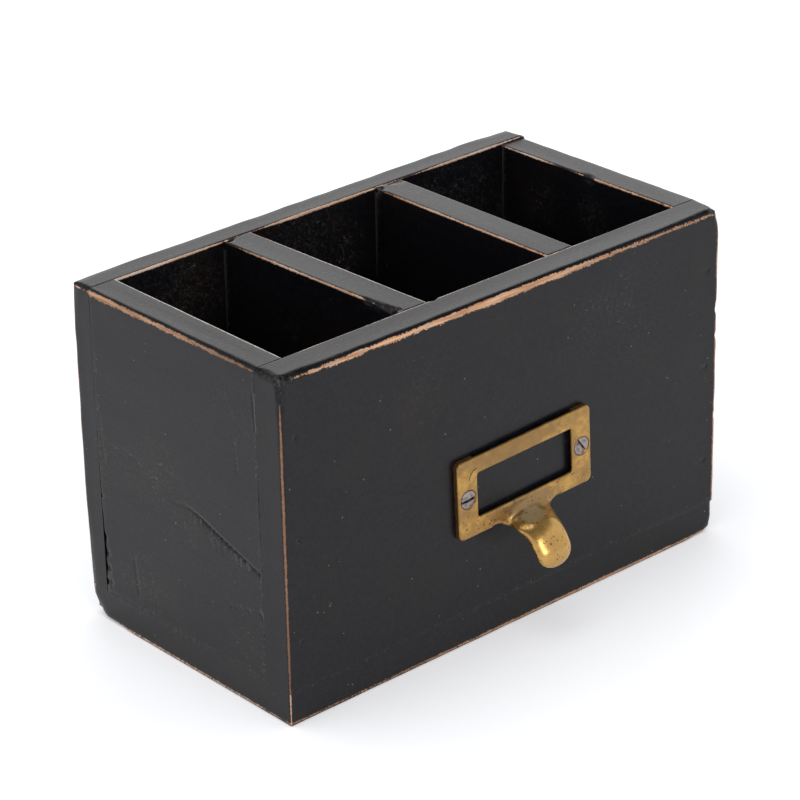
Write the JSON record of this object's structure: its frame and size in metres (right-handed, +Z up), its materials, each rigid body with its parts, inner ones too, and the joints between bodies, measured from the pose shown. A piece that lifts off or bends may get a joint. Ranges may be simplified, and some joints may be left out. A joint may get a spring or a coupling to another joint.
{
  "type": "pen holder",
  "caption": "Open-topped wooden desk box for pens, black paint worn through at the edges, with slightly skewed cross dividers and a brass card-frame finger pull fixed to its front.",
  "frame": {"origin": "middle of the underside of the base, where the box stands on a desk", "axes": "+X along the front to its right-hand end, the front with the pull faces -Y, +Z up"},
  "size_m": [0.2, 0.1267, 0.126],
  "materials": {
    "painted_wood": "black satin paint, rubbed through to bare wood along the arrises",
    "aged_brass": "cast, hand filed and tarnished",
    "screw_steel": "dull bare steel",
    "nail_steel": "dark wire, punched and painted over"
  },
  "bodies": {
    "root": {"bottom_board": "painted_wood", "front_panel": "painted_wood", "back_panel": "painted_wood", "left_side": "painted_wood", "right_side": "painted_wood", "left_divider": "painted_wood", "right_divider": "painted_wood", "label_pull": "aged_brass", "pull_screws": "screw_steel", "front_nails": "nail_steel", "back_nails": "nail_steel", "base_nails": "nail_steel"}
  },
  "joints": []
}
